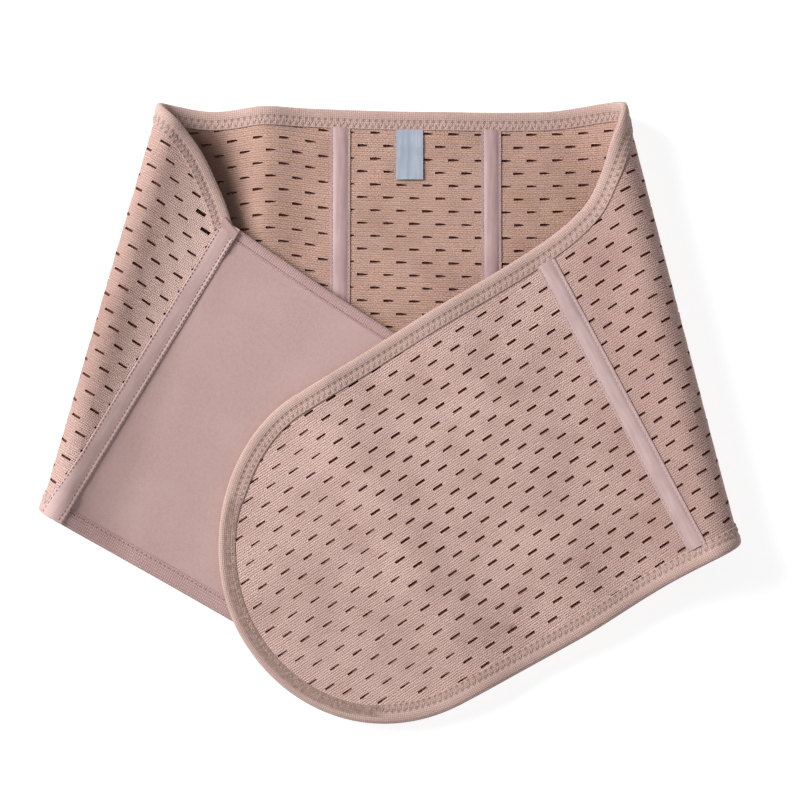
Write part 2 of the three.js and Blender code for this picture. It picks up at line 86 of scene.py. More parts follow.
# The flat cut's edges and the fold
def curveThrough(xs, ys):
    xs, ys = np.array(xs, float), np.array(ys, float)
    last = len(xs) - 1
    before = np.maximum(np.arange(last + 1) - 1, 0)
    after = np.minimum(np.arange(last + 1) + 1, last)
    slopes = (ys[after] - ys[before]) / (xs[after] - xs[before])

    def curve(x):
        x = np.asarray(x, float)
        i = np.clip(np.searchsorted(xs, x, "right") - 1, 0, last - 1)
        step = xs[i + 1] - xs[i]
        t = np.clip((x - xs[i]) / step, 0, 1)
        rest = 1 - t
        return (ys[i] * (1 + 2 * t) * rest ** 2 + ys[i + 1] * (3 - 2 * t) * t ** 2
                + step * t * rest * (slopes[i] * rest - slopes[i + 1] * t))
    return curve


def smooth(x):
    t = np.clip(x, 0, 1)
    return t * t * (3 - 2 * t)


def edgeCurve(rows):
    reach = [(-1 if r == "seamReach" else 1) * belt[r] * share for r, share, up in rows]
    return curveThrough(reach, [up * belt["height"] for r, share, up in rows])


topOf, bottomOf = edgeCurve(topEdge), edgeCurve(bottomEdge)


def panelCurve(rows):
    curve = curveThrough([s * belt["panelLength"] for s, up in rows],
                         [up * belt["height"] for s, up in rows])
    return lambda u: curve(-np.asarray(u) - belt["seamReach"])


panelTopOf, panelBottomOf = panelCurve(panelTopEdge), panelCurve(panelBottomEdge)


def makeFold(shape):
    steps = 240
    at = np.arange(steps + 1) / steps
    turns = np.interp(at, [s for s, t in loopTurns], [t for s, t in loopTurns]) * degree
    middle = (turns[1:] + turns[:-1]) / 2
    step = shape["loop"] / steps
    made = dict(shape, lean=shape["lean"] * degree, turns=turns)
    made["along"] = np.concatenate([[0], np.cumsum(np.cos(middle) * step)])
    made["height"] = np.concatenate([[0], np.cumsum(np.sin(middle) * step)])
    made["start"] = -(shape["loop"] + made["along"][-1]) / 2
    return made


leftFold, rightFold = makeFold(leftFoldShape), makeFold(rightFoldShape)


def acrossFold(fold, u, v):
    du = fold["side"] * u - fold["reach"]
    cos, sin = math.cos(fold["lean"]), math.sin(fold["lean"])
    return du * cos + v * sin, v * cos - du * sin  # past the crease, up along it


def baseHeight(u, v):
    # what the cloth gains at its bound edge, and its soft waves
    faded = 1.0
    for fold in (leftFold, rightFold):
        faded = faded * (1 - smooth((acrossFold(fold, u, v)[0] - fold["start"]) / fold["loop"]))
    nearest = np.minimum(topOf(u) - v, v - bottomOf(u))
    gain = (belt["layerGap"] + belt["tape"]) * faded
    lift = gain * smooth((belt["bindingWidth"] + edgeRun - nearest) / edgeRun)
    for reach, share, rise, spread, down in waves:
        off = (u - (-1 if reach == "seamReach" else 1) * belt[reach] * share) / (spread * belt["height"])
        left = down + (1 - down) * smooth((v / belt["height"] - 0.25) / 0.7)
        lift = lift + rise * belt["height"] * left * np.exp(-off * off)
    return belt["cloth"] / 2 + lift


def laidFlat(u, v, w):
    u, v, w = np.broadcast_arrays(*(np.asarray(a, float) for a in (u, v, w)))
    base = baseHeight(u, v)
    place = np.stack([u, v, base + w], -1)
    for fold in (leftFold, rightFold):
        past, up = acrossFold(fold, u, v)
        into = past - fold["start"]
        at = np.linspace(0, fold["loop"], len(fold["turns"]))
        turn = np.interp(into, at, fold["turns"])
        turn = np.where(into >= fold["loop"], math.pi, turn)
        beyond = np.maximum(into - fold["loop"], 0)
        drop = fold["height"][-1] - (fold["rest"] - belt["cloth"] / 2)
        across = fold["start"] + np.interp(into, at, fold["along"]) - beyond
        height = np.interp(into, at, fold["height"]) - drop * (1 - np.exp(-beyond / fold["settle"]))
        across = across - w * np.sin(turn)
        cos, sin = math.cos(fold["lean"]), math.sin(fold["lean"])
        y = across * sin + up * cos
        sunk = overhang["drop"] * smooth((-y - overhang["start"]) / overhang["run"])
        sunk = sunk * smooth(turn / math.pi)
        x = fold["side"] * (fold["reach"] + across * cos - up * sin)
        folded = np.stack([x, y, base + height + w * np.cos(turn) - sunk], -1)
        place = np.where((into > 0)[..., None], folded, place)
    return place


# The CAD's origin, found from the label, whose place in the flat cut is known
labelLow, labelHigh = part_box("care_label")
labelTop = float(topOf(belt["labelReach"])) - belt["bindingWidth"] - belt["layerGap"]
shift = np.array([(labelLow[0] + labelHigh[0]) * 500 - belt["labelReach"],
                  labelHigh[1] * 1000 - labelTop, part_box("elastic_body")[0][2] * 1000])
print("frame shift in mm", shift.round(2))


def laid(u, v, w):
    return (laidFlat(u, v, w) + shift) / 1000  # metres, in the CAD's frame


# Materials
def linear(hexColour):
    parts = [int(hexColour[i:i + 2], 16) / 255 for i in (0, 2, 4)]
    return [p / 12.92 if p <= 0.04045 else ((p + 0.055) / 1.055) ** 2.4 for p in parts] + [1]


def addNode(tree, kind, settings=None, links=None):
    node = tree.nodes.new(kind)
    for key, value in (settings or {}).items():
        if hasattr(node, key):
            setattr(node, key, value)
        else:
            node.inputs[key].default_value = value
    for key, source in (links or {}).items():
        if isinstance(source, (int, float)):
            node.inputs[key].default_value = source
        else:
            tree.links.new(source, node.inputs[key])
    return node


def startMaterial(name, roughness, sheen=0.0, sheenTint="ffffff"):
    material = bpy.data.materials.new(name)
    material.use_nodes = True
    tree = material.node_tree
    tree.nodes.clear()
    out = addNode(tree, "ShaderNodeOutputMaterial")
    shader = addNode(tree, "ShaderNodeBsdfPrincipled")
    shader.inputs["Roughness"].default_value = roughness
    shader.inputs["Sheen Weight"].default_value = sheen
    shader.inputs["Sheen Roughness"].default_value = 0.5
    shader.inputs["Sheen Tint"].default_value = linear(sheenTint)
    tree.links.new(shader.outputs[0], out.inputs[0])
    return material, tree, shader


def maths(tree, operation, *values):
    node = addNode(tree, "ShaderNodeMath", {"operation": operation})
    for i, value in enumerate(values):
        if isinstance(value, (int, float)):
            node.inputs[i].default_value = value
        else:
            tree.links.new(value, node.inputs[i])
    return node.outputs[0]


def flatPlace(tree):
    # the piece's own UV map holds its place in the flat cut, in millimetres
    place = addNode(tree, "ShaderNodeTexCoord")
    parts = addNode(tree, "ShaderNodeSeparateXYZ", links={0: place.outputs["UV"]})
    return place.outputs["UV"], parts.outputs[0], parts.outputs[1]


def ripple(tree, value, pitch, phase=0.0):
    # a wave from 0 to 1 that repeats every pitch millimetres
    turns = maths(tree, "MULTIPLY_ADD", value, 2 * math.pi / pitch, phase)
    return maths(tree, "MULTIPLY_ADD", maths(tree, "SINE", turns), 0.5, 0.5)


def mottle(tree, place, size, detail=2.0, roughness=0.5):
    node = addNode(tree, "ShaderNodeTexNoise",
                   {"Scale": 1 / size, "Detail": detail, "Roughness": roughness},
                   {"Vector": place})
    return node.outputs[0]


def mixColour(tree, share, first, second):
    node = addNode(tree, "ShaderNodeMix", {"data_type": "RGBA"})
    tree.links.new(share, node.inputs["Factor"])
    for socket, value in ((node.inputs[6], first), (node.inputs[7], second)):
        if isinstance(value, str):
            socket.default_value = linear(value)
        else:
            tree.links.new(value, socket)
    return node.outputs[2]


def ranged(tree, value, low, high, toLow=0.0, toHigh=1.0):
    node = addNode(tree, "ShaderNodeMapRange", {"clamp": True},
                   {0: value, 1: low, 2: high, 3: toLow, 4: toHigh})
    return node.outputs[0]


def bumped(tree, shader, height, distance, strength=1.0):
    node = addNode(tree, "ShaderNodeBump", {"Distance": distance / 1000, "Strength": strength},
                   {"Height": height})
    tree.links.new(node.outputs[0], shader.inputs["Normal"])


def nearBand(tree, along, up, band):
    # how much a leaning soft band of the cloth counts at a place: most in its middle, 0 outside
    lean, reach, middle, wide, high, most, shade = band
    off = maths(tree, "ADD", maths(tree, "MULTIPLY_ADD", up, lean, along), -reach)
    off = maths(tree, "DIVIDE", off, wide)
    over = maths(tree, "DIVIDE", maths(tree, "ADD", up, -middle), high)
    far = maths(tree, "SQRT", maths(tree, "ADD", maths(tree, "MULTIPLY", off, off),
                                    maths(tree, "MULTIPLY", over, over)))
    return ranged(tree, far, 0.3, 1, most, 0)


def knitMaterial(name, crest, valley, warm, pink, ribPitch, stitchPitch, columnShare, shadingBands):
    # Knitted elastic of covered rubber threads: matt, fine uneven ribs along the rows, flecked colour, and
    # soft bands of painted light and shade
    material, tree, shader = startMaterial(name, 0.9, 0.15, "f4ddd2")
    place, along, level = flatPlace(tree)
    up = maths(tree, "MULTIPLY_ADD", mottle(tree, place, 2.4, 2.0), 1.1, level)
    rib = ripple(tree, up, ribPitch)
    lean = maths(tree, "MULTIPLY", ripple(tree, up, 2 * ribPitch), stitchPitch * 0.5)
    stitch = ripple(tree, maths(tree, "ADD", along, lean), stitchPitch)
    knit = maths(tree, "ADD", maths(tree, "MULTIPLY", rib, 1 - columnShare),
                 maths(tree, "MULTIPLY", stitch, columnShare))
    grain = mottle(tree, place, 0.9, 2.0)
    blotch = mottle(tree, place, 30, 3.0)
    streak = addNode(tree, "ShaderNodeMapping", {"vector_type": "POINT"}, {"Vector": place})
    streak.inputs["Scale"].default_value = (0.06, 0.9, 1)
    streaks = mottle(tree, streak.outputs[0], 1.6, 2.0)
    shade = maths(tree, "ADD", maths(tree, "MULTIPLY", knit, 0.42),
                  maths(tree, "MULTIPLY", grain, 0.58))
    colour = mixColour(tree, ranged(tree, shade, 0.28, 0.64), valley, crest)
    colour = mixColour(tree, maths(tree, "MULTIPLY", ripple(tree, up, 2 * ribPitch), 0.45), colour, warm)
    colour = mixColour(tree, ranged(tree, streaks, 0.4, 0.7, 0, 0.5), colour, pink)
    colour = mixColour(tree, ranged(tree, blotch, 0.4, 0.75, 0, 0.35), colour, valley)
    # painted light and shade: each soft band mixes its colour into the knit's
    for band in shadingBands:
        colour = mixColour(tree, nearBand(tree, along, level, band), colour, band[-1])
    tree.links.new(colour, shader.inputs["Base Color"])
    bumped(tree, shader, maths(tree, "ADD", knit, maths(tree, "MULTIPLY", grain, 0.9)), 0.4, 0.9)
    return material


def cutMaterial(name, light, dark):
    # The cut sides of a slit, painted dark: painted shade for the shadow down in the slit, over the
    # pink-brown of the yarn ends
    material, tree, shader = startMaterial(name, 1.0)
    place, along, up = flatPlace(tree)
    colour = mixColour(tree, mottle(tree, place, 0.6, 2.0), dark, light)
    tree.links.new(colour, shader.inputs["Base Color"])
    return material


def tapeMaterial(name, crest, valley, holes):
    # Knitted folding tape: soft and matt, its needle holes show as soft dark dots in rows
    material, tree, shader = startMaterial(name, 0.92, 0.15, "f0dcd4")
    place, along, across = flatPlace(tree)
    weave = maths(tree, "MULTIPLY", ripple(tree, along, 1.3), ripple(tree, across, 1.2))
    grain = mottle(tree, place, 0.8, 2.0)
    blotch = mottle(tree, place, 24, 3.0)
    shade = maths(tree, "ADD", maths(tree, "MULTIPLY", weave, 0.45),
                  maths(tree, "MULTIPLY", grain, 0.55))
    colour = mixColour(tree, ranged(tree, shade, 0.2, 0.6), valley, crest)
    colour = mixColour(tree, ranged(tree, blotch, 0.4, 0.75, 0, 0.4), colour, valley)
    dots = None
    for acrossAt, phase in holes["rows"]:
        shifted = maths(tree, "ADD", along, phase)
        off = maths(tree, "PINGPONG", shifted, holes["pitch"] / 2)
        away = maths(tree, "SUBTRACT", maths(tree, "ABSOLUTE", across), acrossAt)
        far = maths(tree, "SQRT", maths(tree, "ADD", maths(tree, "MULTIPLY", off, off),
                                        maths(tree, "MULTIPLY", away, away)))
        dot = ranged(tree, far, holes["radius"] * 0.4, holes["radius"] * 1.3, 1, 0)
        dots = dot if dots is None else maths(tree, "MAXIMUM", dots, dot)
    if "until" in holes:  # none at the belt's round end, between two places along the tape
        before = ranged(tree, along, holes["until"], holes["until"] + 6, 1, 0)
        after = ranged(tree, along, holes["again"] - 6, holes["again"], 0, 1)
        straight = maths(tree, "MAXIMUM", before, after)
        dots = maths(tree, "MULTIPLY", dots, straight)
        # at the round end the tape just inside its standing rim is darkened: painted shade where it slopes
        # down from the rim, with the compressed stitched tape a little darker too
        inBand = maths(tree, "MULTIPLY", ranged(tree, maths(tree, "ABSOLUTE", across), 3.2, 4.6),
                       maths(tree, "SUBTRACT", 1.0, straight))
        bandShadeMottle = ranged(tree, mottle(tree, place, 2.6, 2.0), 0.3, 0.7, 0.25, 0.8)
        colour = mixColour(tree, maths(tree, "MULTIPLY", inBand, bandShadeMottle), colour, holes["band"])
    dots = maths(tree, "MULTIPLY", dots, holes["depth"])
    colour = mixColour(tree, dots, colour, holes["colour"])
    tree.links.new(colour, shader.inputs["Base Color"])
    relief = maths(tree, "SUBTRACT", shade, maths(tree, "MULTIPLY", dots, 1.6))
    bumped(tree, shader, relief, 0.4, 0.85)
    return material


def satinMaterial(name, light, dark, roughness):
    # Woven satin tape: smooth floats of thread along it give a soft stretched gleam
    material, tree, shader = startMaterial(name, roughness, 0.2, "fff4f2")
    place, along, across = flatPlace(tree)
    thread = maths(tree, "MULTIPLY", ripple(tree, across, 0.5), ripple(tree, along, 1.9))
    stretch = addNode(tree, "ShaderNodeMapping", {"vector_type": "POINT"}, {"Vector": place})
    stretch.inputs["Scale"].default_value = (0.12, 1, 1)
    streaks = mottle(tree, stretch.outputs[0], 2.6, 1.0)
    blotch = mottle(tree, place, 14, 2.0)
    colour = mixColour(tree, ranged(tree, streaks, 0.2, 0.8, 0.2, 0.8), dark, light)
    colour = mixColour(tree, ranged(tree, blotch, 0.45, 0.8, 0, 0.5), colour, dark)
    tree.links.new(colour, shader.inputs["Base Color"])
    relief = maths(tree, "ADD", maths(tree, "MULTIPLY", thread, 0.3), maths(tree, "MULTIPLY", streaks, 0.5))
    bumped(tree, shader, relief, 0.12, 0.6)
    return material


def velourMaterial(name, light, dark, napBump):
    # Brushed loop velour: very even and matt, a short nap that lightens where it's seen aslant
    material, tree, shader = startMaterial(name, 0.96, 0.45, "f3dedb")
    place, along, across = flatPlace(tree)
    nap = mottle(tree, place, 0.5, 3.0, 0.7)
    tuft = mottle(tree, place, 2.4, 2.0)
    blotch = mottle(tree, place, 40, 3.0)
    colour = mixColour(tree, ranged(tree, nap, 0.3, 0.7), dark, light)
    colour = mixColour(tree, ranged(tree, tuft, 0.4, 0.75, 0, 0.35), colour, dark)
    colour = mixColour(tree, ranged(tree, blotch, 0.4, 0.75, 0, 0.4), colour, light)
    tree.links.new(colour, shader.inputs["Base Color"])
    relief = maths(tree, "ADD", nap, maths(tree, "MULTIPLY", tuft, 0.6))
    bumped(tree, shader, relief, napBump, 0.7)
    return material


def threadMaterial(name, light, dark):
    # Polyester sewing thread: a twisted strand with a slight gleam
    material, tree, shader = startMaterial(name, 0.6, 0.3)
    place, along, across = flatPlace(tree)
    twist = ripple(tree, maths(tree, "ADD", along, maths(tree, "MULTIPLY", across, 0.6)), 0.6)
    colour = mixColour(tree, twist, dark, light)
    tree.links.new(colour, shader.inputs["Base Color"])
    bumped(tree, shader, twist, 0.08, 0.6)
    return material


def hookMaterial(name, light, dark):
    # Moulded hook tape: rows of small stiff hooks, so a coarse grid of dots with a faint gleam
    material, tree, shader = startMaterial(name, 0.6, 0.1)
    place, along, across = flatPlace(tree)
    hooks = maths(tree, "MULTIPLY", ripple(tree, along, 1.5), ripple(tree, across, 1.5))
    colour = mixColour(tree, hooks, dark, light)
    tree.links.new(colour, shader.inputs["Base Color"])
    bumped(tree, shader, hooks, 0.7, 1.0)
    return material


zigzag = {"pitch": 4.0, "inner": 10.9, "outer": 7.2, "radius": 0.2, "height": 1.45, "standing": 2.0}
panelHoles = {"rows": [(6.6, 0.0)], "pitch": 3.2, "radius": 0.4, "depth": 0.35, "colour": "6f4c46"}

# painted shade along both folds, and painted light by the seam casing
outerShadingBands = [  # along the folds: lean, reach, middle height, half width, half height, share, colour
    (-0.22, -220.8, 140, 26, 400, 0.5, "8a675d"),
    (-0.22, -238.0, 135, 30, 85, 0.42, "8a675d"),
    (-0.22, -276.8, 140, 30, 400, 0.34, "f0d2c6"),
    (0.23, 251.2, 140, 62, 400, 0.4, "8a675f"),
]
# painted shadow that the left fold casts on the back, in the valley right of the left binding
innerShadowBands = [(0.32, -40, 240, 17, 100, 0.62, "54352b")]
outerKnit = knitMaterial("knittedElasticOuter", "e6c8be", "926e66", "caa595", "c0a09b", 1.42, 1.2, 0.34,
                         outerShadingBands)
innerKnit = knitMaterial("knittedElasticInner", "d6b2a4", "85604f", "c59878", "b3918c", 1.42, 0.85, 0.4,
                         innerShadowBands)
# painted shade in the slits' cut sides, dark for the shadow down in a slit
slitShadeCut = cutMaterial("cutKnittedElasticPaintedShade", "7d4034", "4e2019")
# over the hook patch the cut sides get a lighter painted shade, where the lit patch shows close under the
# slits
overPatchSlitShade = cutMaterial("cutElasticOverHooksPaintedShade", "b08377", "8c5f54")
velourTape = tapeMaterial("velourFoldedEdge", "c6a7a4", "a07e7b", panelHoles)
velour = velourMaterial("brushedLoopVelour", "c3a6a2", "a5847f", 0.22)
satin = satinMaterial("wovenSatinTape", "bfa1a1", "9a7c7c", 0.6)
paleSatin = satinMaterial("wovenSatinTapeOuter", "c4aaa8", "a18684", 0.62)
seamSatin = satinMaterial("wovenSatinTapeSeam", "cdafab", "b0928e", 0.66)
ribbon = satinMaterial("satinLabelRibbon", "b9c0ca", "848ea0", 0.42)
sewingThread = threadMaterial("polyesterThread", "cdb1a8", "a08379")
mauveThread = threadMaterial("mauvePolyesterThread", "a9857f", "76544e")
hookTape = hookMaterial("mouldedHookTape", "c5b4ad", "8f7e78")
print("materials made")


# Mesh helpers
def makePiece(name, points, faces, uvs, materials, slots=None, angle=50):
    mesh = bpy.data.meshes.new(name)
    mesh.from_pydata([tuple(p) for p in points], [], faces)
    layer = mesh.uv_layers.new(name="flatCut")
    loops = np.empty(len(mesh.loops), np.int32)
    mesh.loops.foreach_get("vertex_index", loops)
    layer.data.foreach_set("uv", np.asarray(uvs, float)[loops].ravel())
    for material in materials:
        mesh.materials.append(material)
    if slots is not None:
        mesh.polygons.foreach_set("material_index", slots)
    made = bmesh.new()
    made.from_mesh(mesh)
    bmesh.ops.recalc_face_normals(made, faces=made.faces)
    for face in made.faces:
        face.smooth = True
    made.to_mesh(mesh)
    made.free()
    piece = bpy.data.objects.new(name, mesh)
    bpy.context.scene.collection.objects.link(piece)
    mesh.set_sharp_from_angle(angle=angle * degree)
    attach(piece, "root")
    print(name, len(mesh.polygons), "faces")
    return piece


def gridFaces(rows, columns, wrapColumns=False):
    faces = []
    span = columns if wrapColumns else columns - 1
    for i in range(rows - 1):
        for j in range(span):
            k = (j + 1) % columns
            faces.append((i * columns + j, i * columns + k, (i + 1) * columns + k, (i + 1) * columns + j))
    return faces


def closedGrid(rows, columns):
    # the faces of a thin closed sheet: a grid of points above, the same below, walls round the rim
    count = rows * columns
    faces = gridFaces(rows, columns)
    rim = list(range(columns)) + [i * columns + columns - 1 for i in range(1, rows)]
    rim += [(rows - 1) * columns + j for j in range(columns - 2, -1, -1)]
    rim += [i * columns for i in range(rows - 2, 0, -1)]
    walls = [(a, b, count + b, count + a) for a, b in zip(rim, rim[1:] + rim[:1])]
    return faces + [tuple(count + k for k in reversed(f)) for f in faces] + walls


def profilePiece(name, stations, profile, materials, angle=50):
    # carries a closed profile of (out, w), or one a station, along stations of
    # (u, v, outU, outV, run, lift, wide): lift raises it off the cloth there, wide widens it
    stations = np.asarray(stations, float)
    profile = np.asarray(profile, float)
    profile = np.broadcast_to(profile, (len(stations), *profile.shape[-2:]))
    out = profile[:, :, 0] * stations[:, None, 6]
    u = stations[:, None, 0] + out * stations[:, None, 2]
    v = stations[:, None, 1] + out * stations[:, None, 3]
    w = profile[:, :, 1] + np.sign(profile[:, :, 1]) * stations[:, None, 5]
    points = laid(u, v, w).reshape(-1, 3)
    uvs = np.stack(np.broadcast_arrays(stations[:, None, 4], profile[:, :, 0]), -1).reshape(-1, 2)
    sides = profile.shape[1]
    faces = gridFaces(len(stations), sides, True)
    last = (len(stations) - 1) * sides
    faces.append(tuple(range(sides)))
    faces.append(tuple(range(last + sides - 1, last - 1, -1)))
    return makePiece(name, points, faces, uvs, materials, None, angle)


def stationsFrom(line, leftIsOut, step):
    # even stations along a fine line of points, with the way out of the cloth at each
    line = np.asarray(line, float)
    run = np.concatenate([[0], np.cumsum(np.hypot(*np.diff(line, axis=0).T))])
    count = max(int(round(run[-1] / step)), 2)
    at = np.linspace(0, run[-1], count + 1)
    u, v = np.interp(at, run, line[:, 0]), np.interp(at, run, line[:, 1])
    du, dv = np.gradient(u), np.gradient(v)
    size = np.hypot(du, dv)
    side = 1 if leftIsOut else -1
    return np.stack([u, v, -side * dv / size, side * du / size, at, 0 * at, 1 + 0 * at], -1)


def threadTubes(name, paths, radius, material, sides=5, cut=80):
    # one mesh of many short thread tubes, each a list of (u, v, w, run, across)
    points, faces, uvs = [], [], []
    for path in paths:
        path = np.asarray(path, float)
        spine = laid(path[:, 0], path[:, 1], path[:, 2])
        along = np.gradient(spine, axis=0)
        along /= np.linalg.norm(along, axis=1)[:, None]
        above = laid(path[:, 0], path[:, 1], path[:, 2] + 0.5) - spine
        above /= np.linalg.norm(above, axis=1)[:, None]
        beside = np.cross(along, above)
        start = len(points)
        angles = [2 * math.pi * k / sides for k in range(sides)]
        rings = np.stack([spine + radius / 1000 * (math.cos(a) * above + math.sin(a) * beside)
                          for a in angles], 1)
        points.extend(rings.reshape(-1, 3))
        for row in path:
            uvs.extend([(row[3], row[4] + 0.2 * k) for k in range(sides)])
        count = len(path)
        faces.extend(tuple(start + i for i in face) for face in gridFaces(count, sides, True))
        faces.append(tuple(start + i for i in range(sides)))
        faces.append(tuple(start + (count - 1) * sides + i for i in reversed(range(sides))))
    return makePiece(name, points, faces, uvs, [material], angle=cut)


# The slit elastic
elasticCloth = {
    "cell": 8.2,          # half the slits' pitch along a row, and the rows' spacing
    "slitLength": 6.4, "slitWidth": 1.5,
    "inset": 2.4,         # how far inside the tape's edge the cloth ends
    "lip": 0.12,          # how far a slit's lips stand apart, up and down
    "farWidth": 0.005,    # how much of a slit's width is left on its hidden side
    "overPatch": 0.8,     # how wide a slit is over the hook patch, against the others
}
# two slits by the seam have torn wider: their places in the frame, and what tells them apart
tornSlits = {"places": [(-115, 119), (-112, 106)], "within": 5, "wider": 1.6, "farWidth": 0.7}
rowDrift = [  # how the knitted rows lean against the belt's line, in degrees
    (-240, 0), (-175, 0), (-128, -6), (-104, -8), (-84, -2), (-68, 5), (-55, 8), (-40, 4), (-25, 1.5),
    (20, 1.5), (130, -2), (185, 0.5), (245, 5.5), (520, 5.5),
]
driftAt = np.linspace(-260, 540, 801)
driftSlope = np.tan(curveThrough([r[0] for r in rowDrift], [r[1] for r in rowDrift])(driftAt) * degree)
driftFall = np.concatenate([[0], np.cumsum((driftSlope[1:] + driftSlope[:-1]) / 2)])


def roundEdge(u, edge, power, margin):
    # the round end's top or bottom edge, set in by a margin
    start = belt["tipReach"] - belt["roundLength"]
    share = np.clip((u - start) / (belt["roundLength"] - margin), 0, 1)
    reach = edge(start) - belt["roundMiddle"]
    reach = reach - math.copysign(margin, reach)
    return belt["roundMiddle"] + reach * (1 - share ** power) ** (1 / power)


def edgesAt(u, margin):
    start = belt["tipReach"] - belt["roundLength"]
    top = np.where(u > start, roundEdge(u, topOf, belt["roundTopPower"], margin), topOf(u) - margin)
    bottom = np.where(u > start, roundEdge(u, bottomOf, belt["roundBottomPower"], margin),
                      bottomOf(u) + margin)
    return bottom, top


patch = {"reach": 104, "lean": 5.5}  # its straight edge: from the belt's tip, and across the rows


def patchEdge(v):
    return belt["tipReach"] - patch["reach"] + math.tan(patch["lean"] * degree) * (v - belt["roundMiddle"])


def makeElastic():
    half = elasticCloth["cell"] / 2
    firstU = -belt["seamReach"]
    countU = int((belt["tipReach"] + belt["seamReach"]) / half / 2) * 2 + 2
    countV = int(300 / half / 2) * 2 + 12
    firstV = -8.2 * 2
    p = firstU + half * np.arange(countU + 1)
    q = firstV + half * np.arange(countV + 1)
    fall = np.interp(p, driftAt, driftFall)
    u = np.repeat(p[:, None], countV + 1, 1)
    v = q[None, :] - fall[:, None]
    uAt = np.minimum(u, belt["tipReach"] - elasticCloth["inset"] - 0.05)
    bottom, top = edgesAt(uAt, elasticCloth["inset"])
    vAt = np.clip(v, bottom, top)
    inside = (v > bottom) & (v < top) & (u < belt["tipReach"] - elasticCloth["inset"])
    tapeBottom, tapeTop = edgesAt(uAt, 5)
    clear = (v > tapeBottom) & (v < tapeTop) & (u < belt["tipReach"] - 8)

    flat, place, faces, number, slitMiddle = [], [], [], {}, {}

    def corner(i, j):
        if (i, j) not in number:
            number[(i, j)] = len(flat)
            flat.append((uAt[i, j], vAt[i, j], 0.0))
            place.append((p[i], q[j]))
        return number[(i, j)]

    def added(pAt, qAt, w):
        flat.append((pAt, qAt - np.interp(pAt, driftAt, driftFall), w))
        place.append((pAt, qAt))
        return len(flat) - 1

    for i in range(0, countU, 2):
        for j in range(0, countV, 2):
            if not inside[i + 1, j + 1]:
                continue
            ring = [(i, j), (i + 1, j), (i + 2, j), (i + 2, j + 1),
                    (i + 2, j + 2), (i + 1, j + 2), (i, j + 2), (i, j + 1)]
            slit = (i // 2 + j // 2) % 2 == 0 and all(clear[a, b] for a, b in ring)
            if not slit:
                for a, b in ((i, j), (i + 1, j), (i + 1, j + 1), (i, j + 1)):
                    faces.append((corner(a, b), corner(a + 1, b), corner(a + 1, b + 1), corner(a, b + 1)))
                continue
            pMid, qMid = p[i + 1], q[j + 1]
            vMid = qMid - np.interp(pMid, driftAt, driftFall)
            outerSeen = max(acrossFold(fold, pMid, vMid)[0] for fold in (leftFold, rightFold)) > 0
            width = elasticCloth["slitWidth"] / 2 * random.uniform(0.88, 1.12)
            long = elasticCloth["slitLength"] / 2 * random.uniform(0.93, 1.05)
            taper = 1 if outerSeen else 0.4  # the back's slits narrow to one end
            middle = laid(pMid, vMid, 0) * 1000
            farWidth = elasticCloth["farWidth"]
            if min(math.dist(middle[:2], torn) for torn in tornSlits["places"]) < tornSlits["within"]:
                width *= tornSlits["wider"]
                farWidth = tornSlits["farWidth"]
            # over the hook patch the slits are shallow, as its felt lies right under them
            shallow = pMid > patchEdge(vMid)
            width *= elasticCloth["overPatch"] if shallow else 1
            lip = elasticCloth["lip"]
            hole = [(-long, -width, -lip), (0, -width, -lip), (long, -width * taper, -lip),
                    (long + 0.15, 0, 0), (long, width * taper, lip), (0, width, lip),
                    (-long, width, lip), (-long - 0.15, 0, 0)]
            inner = [added(pMid + a, qMid + b, w) for a, b, w in hole]
            slitMiddle.update({k: (qMid, outerSeen, shallow, pMid, farWidth) for k in inner})
            outer = [corner(a, b) for a, b in ring]
            for k in range(8):
                n = (k + 1) % 8
                faces.append((outer[k], outer[n], inner[n], inner[k]))

    flat, place = np.array(flat), np.array(place)
    count = len(flat)
    thick = belt["cloth"] / 2
    sides = {"above": flat.copy(), "below": flat.copy()}
    for k, (qMid, outerSeen, shallow, pMid, farWidth) in slitMiddle.items():
        hidden = sides["above" if outerSeen else "below"]
        hidden[k, 1] -= (place[k, 1] - qMid) * (1 - farWidth)
        hidden[k, 2] = 0
    above = laid(*sides["above"].T + np.array([[0], [0], [thick]]))
    below = laid(*sides["below"].T - np.array([[0], [0], [thick]]))
    seen = {}
    for face in faces:
        for k in range(4):
            a, b = face[k], face[(k + 1) % 4]
            seen[(a, b)] = seen.get((a, b), 0) + 1
    walls = [(a, b) for a, b in seen if (b, a) not in seen]
    allFaces = list(faces)
    allFaces += [tuple(count + k for k in reversed(face)) for face in faces]
    allFaces += [(b, a, count + a, count + b) for a, b in walls]
    cut = []
    # over the hook patch a slit's outer half gets the dark painted shade and its other half the lighter
    # painted shade
    for a, b in walls:  # over the hook patch only a slit's outer half is dark
        qMid, outerSeen, shallow, pMid, farWidth = slitMiddle.get(a, (0, 0, 0, 0, 0))
        shadedHalf = (place[a, 0] + place[b, 0]) / 2 > pMid
        cut.append(1 if a not in slitMiddle else 2 + int(shallow and not shadedHalf))
    slots = [0] * len(faces) + [1] * len(faces) + cut
    points = np.concatenate([above, below])
    uvs = np.concatenate([place, place])
    piece = makePiece("elasticCloth", points, allFaces, uvs,
                      [innerKnit, outerKnit, slitShadeCut, overPatchSlitShade], slots, 60)
    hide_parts("elastic_body")
    u = np.linspace(-belt["seamReach"], belt["tipReach"] - 2.5, 1500)
    low, high = edgesAt(u, elasticCloth["inset"])
    strand = curveThrough(*np.array(looseThread).T)
    uAt = np.linspace(looseThread[0][0], looseThread[-1][0], 40)
    loose = threadTubes("looseThread", [np.stack([uAt, strand(uAt), 0 * uAt - 1.2, uAt, 0 * uAt], -1)],
                        0.14, mauveThread)


looseThread = [(161.5, 255), (167, 251.5), (176.5, 242.5), (186, 235.5), (198, 229)]  # u, v
makeElastic()


